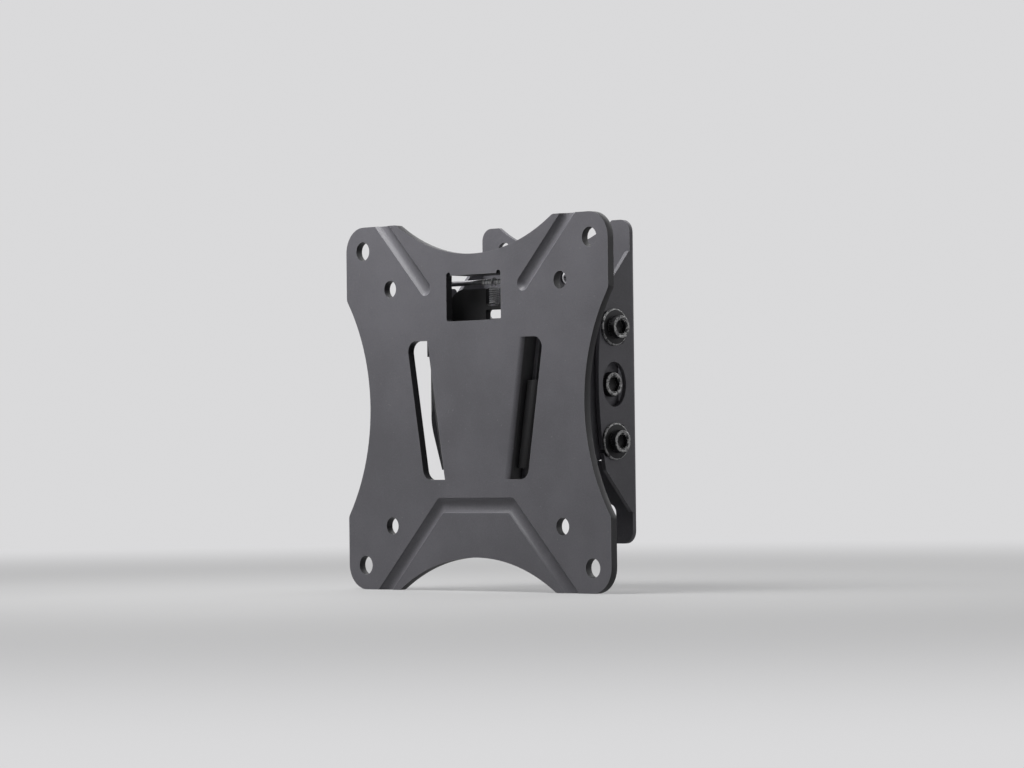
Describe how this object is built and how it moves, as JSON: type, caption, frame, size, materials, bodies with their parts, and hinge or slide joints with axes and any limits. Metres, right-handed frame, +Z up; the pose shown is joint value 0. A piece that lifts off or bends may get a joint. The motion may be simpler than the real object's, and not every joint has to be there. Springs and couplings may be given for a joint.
{
  "type": "tilting tv wall bracket",
  "caption": "Small tilting wall bracket: folded wall plate, swinging channel with curved-slot bolts, and a wedge-hung screen plate with square hole patterns.",
  "frame": {"origin": "centre of the wall plate's rear face, where it lies on the wall", "axes": "+X right seen from the front, +Y into the wall, +Z up"},
  "size_m": [0.1154, 0.038, 0.1154],
  "materials": {
    "charcoal_coat": "fine satin powder coat",
    "black_steel": "black oxide, semi-gloss",
    "zinc_steel": "bright zinc plate",
    "friction_plastic": "matt"
  },
  "bodies": {
    "wall_frame": {"wall_plate": "charcoal_coat"},
    "tilt_head": {"tilt_bracket": "charcoal_coat", "wedge_receiver": "black_steel", "spacer_bar": "zinc_steel", "latch_spring": "zinc_steel", "receiver_rivet_upper": "zinc_steel", "receiver_rivet_lower": "zinc_steel", "stop_bolt_left": "black_steel", "stop_bolt_right": "black_steel", "tilt_bolt_upper_left": "black_steel", "tilt_bolt_lower_left": "black_steel", "tilt_bolt_upper_right": "black_steel", "tilt_bolt_lower_right": "black_steel", "bolt_washer_upper_left": "black_steel", "bolt_washer_lower_left": "black_steel", "bolt_washer_upper_right": "black_steel", "bolt_washer_lower_right": "black_steel", "friction_washer_upper_left": "friction_plastic", "friction_washer_lower_left": "friction_plastic", "friction_washer_upper_right": "friction_plastic", "friction_washer_lower_right": "friction_plastic", "lock_nut_upper_left": "zinc_steel", "lock_nut_lower_left": "zinc_steel", "lock_nut_upper_right": "zinc_steel", "lock_nut_lower_right": "zinc_steel"},
    "screen": {"screen_plate": "charcoal_coat", "latch_catch_left": "charcoal_coat", "latch_catch_right": "charcoal_coat"},
    "latch": {"latch_rod": "zinc_steel", "rod_clip_left": "zinc_steel", "rod_clip_right": "zinc_steel"}
  },
  "joints": [
    {"name": "tilt", "type": "hinge", "parent": "wall_frame", "child": "tilt_head", "pos_m": [0, -0.028, -0.001], "axis": [1, 0, 0], "range_deg": [-9, 9]},
    {"name": "screen_lift", "type": "slide", "parent": "tilt_head", "child": "screen", "axis": [0, 0, 1], "range_m": [0, 0.0084]},
    {"name": "latch_release", "type": "slide", "parent": "tilt_head", "child": "latch", "axis": [0, 0.7071, 0.7071], "range_m": [0, 0.01188], "stiffness_N_per_m": 250, "springref_m": -0.008, "deforming": ["latch_spring"]}
  ],
  "couplings": [
    {"joint": "latch_release", "follows": "screen_lift", "ratio": 1.4142}
  ]
}
